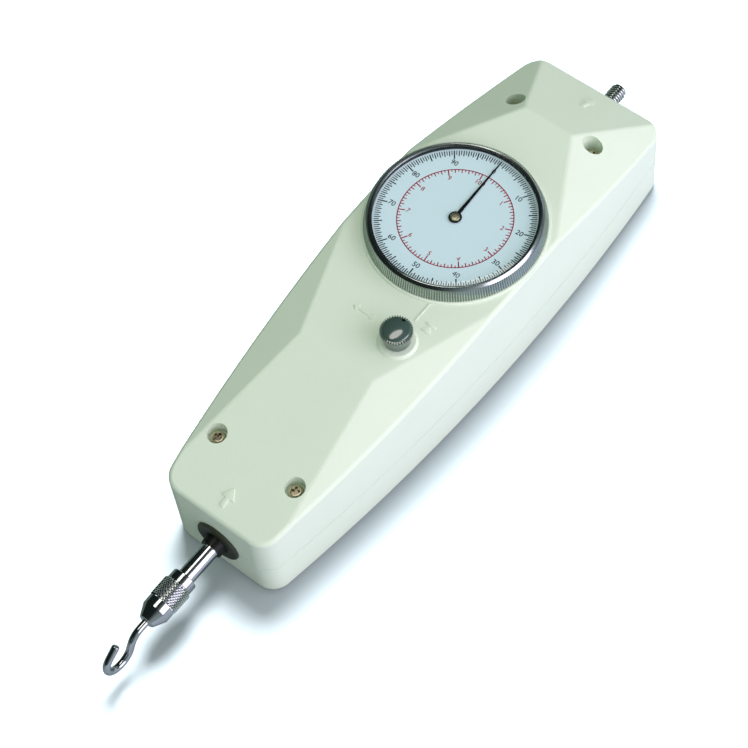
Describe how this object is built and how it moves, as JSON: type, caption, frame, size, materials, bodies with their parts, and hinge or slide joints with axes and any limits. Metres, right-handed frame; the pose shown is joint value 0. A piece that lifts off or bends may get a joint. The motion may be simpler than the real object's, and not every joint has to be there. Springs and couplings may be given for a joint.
{
  "type": "mechanical force gauge",
  "caption": "Hand-held mechanical push-pull force gauge: faceted case, round dial with turning bezel, mode knob and a spring-loaded measuring shaft with hook.",
  "frame": {"origin": "centre of the flat back of the case", "axes": "+Z out of the back towards the dial, +Y along the measuring shaft away from the hook, +X to the right seen from the dial side"},
  "size_m": [0.061, 0.2671, 0.0538],
  "materials": {
    "case_plastic": "fine-textured ivory moulding",
    "brass_screws": "plated cross-recess heads",
    "dark_bush": "dark anodised",
    "brass": "turned",
    "zinc_sheet": "zinc-plated sheet",
    "zinc_screws": "zinc plated",
    "turned_steel": "turned",
    "spring_steel": "drawn wire and strip",
    "bright_steel": "bright plated",
    "bezel_metal": "satin, knurled edge",
    "glass": "clear flat window",
    "gasket_rubber": "matte",
    "dial_paint": "matte white",
    "pointer_black": "satin black",
    "knob_plastic": "semi-gloss grey"
  },
  "bodies": {
    "case": {"front_housing": "case_plastic", "rear_housing": "case_plastic", "housing_screws": "brass_screws", "push_end_bush": "dark_bush", "pull_end_bush": "dark_bush", "mounting_inserts": "brass", "chassis_frame": "zinc_sheet", "chassis_screws": "zinc_screws", "shaft_bushes": "brass", "spring_seat": "turned_steel", "main_spring": "spring_steel", "lower_movement_plate": "brass", "upper_movement_plate": "brass", "movement_pillars": "brass", "plate_screws": "zinc_screws", "movement_mount_screws": "zinc_screws", "rack_guide": "brass", "guide_screws": "zinc_screws", "pawl_pin": "turned_steel", "hairspring_stud": "brass", "hairspring": "spring_steel", "bezel_snap_ring": "spring_steel"},
    "bezel": {"bezel_ring": "bezel_metal", "dial_glass": "glass", "glass_gasket": "gasket_rubber", "dial_plate": "dial_paint", "dial_clamp_ring": "bezel_metal"},
    "pointer": {"pointer_arbor": "turned_steel", "pointer": "pointer_black", "pointer_hub": "brass", "hairspring_collet": "brass"},
    "idler": {"rack_pinion": "turned_steel", "transfer_gear": "brass", "ratchet_wheel": "turned_steel"},
    "shaft": {"measuring_shaft": "bright_steel", "hook_adapter": "bright_steel", "spring_collar": "turned_steel", "collar_pin": "turned_steel", "rack_driver": "brass", "driver_screw": "zinc_screws", "stop_clip": "spring_steel"},
    "rack": {"gear_rack": "brass"},
    "knob": {"mode_knob": "knob_plastic", "knob_spindle": "turned_steel", "knob_cam": "brass", "spindle_clip": "spring_steel"},
    "pawl": {"peak_pawl": "turned_steel"},
    "hook": {"wire_hook": "bright_steel"}
  },
  "joints": [
    {"name": "shaft_slide", "type": "slide", "parent": "case", "child": "shaft", "axis": [0, 1, 0], "range_m": [0, 0.01], "stiffness_N_per_m": 10000, "deforming": ["main_spring"]},
    {"name": "rack_slide", "type": "slide", "parent": "case", "child": "rack", "axis": [0, 1, 0], "range_m": [0, 0.0101]},
    {"name": "gear_spin", "type": "hinge", "parent": "case", "child": "idler", "pos_m": [0.009, 0.01063, 0.027], "axis": [0, 0, 1], "range_deg": [0, 115]},
    {"name": "pointer_spin", "type": "hinge", "parent": "case", "child": "pointer", "pos_m": [0, 0.022, 0.048], "axis": [0, 0, 1], "range_deg": [-361, 0]},
    {"name": "bezel_turn", "type": "hinge", "parent": "case", "child": "bezel", "pos_m": [0, 0.022, 0.0475], "axis": [0, 0, 1], "continuous": true},
    {"name": "knob_turn", "type": "hinge", "parent": "case", "child": "knob", "pos_m": [0.012, -0.023, 0.0455], "axis": [0, 0, 1], "range_deg": [-90, 0]},
    {"name": "pawl_swing", "type": "hinge", "parent": "case", "child": "pawl", "pos_m": [-0.004, -0.002, 0.029], "axis": [0, 0, 1], "range_deg": [0, 3.5]},
    {"name": "hook_swivel", "type": "hinge", "parent": "shaft", "child": "hook", "pos_m": [0, -0.1268, 0.0165], "axis": [0, 1, 0], "continuous": true}
  ],
  "couplings": [
    {"joint": "rack_slide", "follows": "shaft_slide", "ratio": 1},
    {"joint": "gear_spin", "follows": "shaft_slide", "rad_per_m": 200},
    {"joint": "pointer_spin", "follows": "shaft_slide", "rad_per_m": -628.57},
    {"joint": "pawl_swing", "follows": "knob_turn", "ratio": -0.037778}
  ]
}
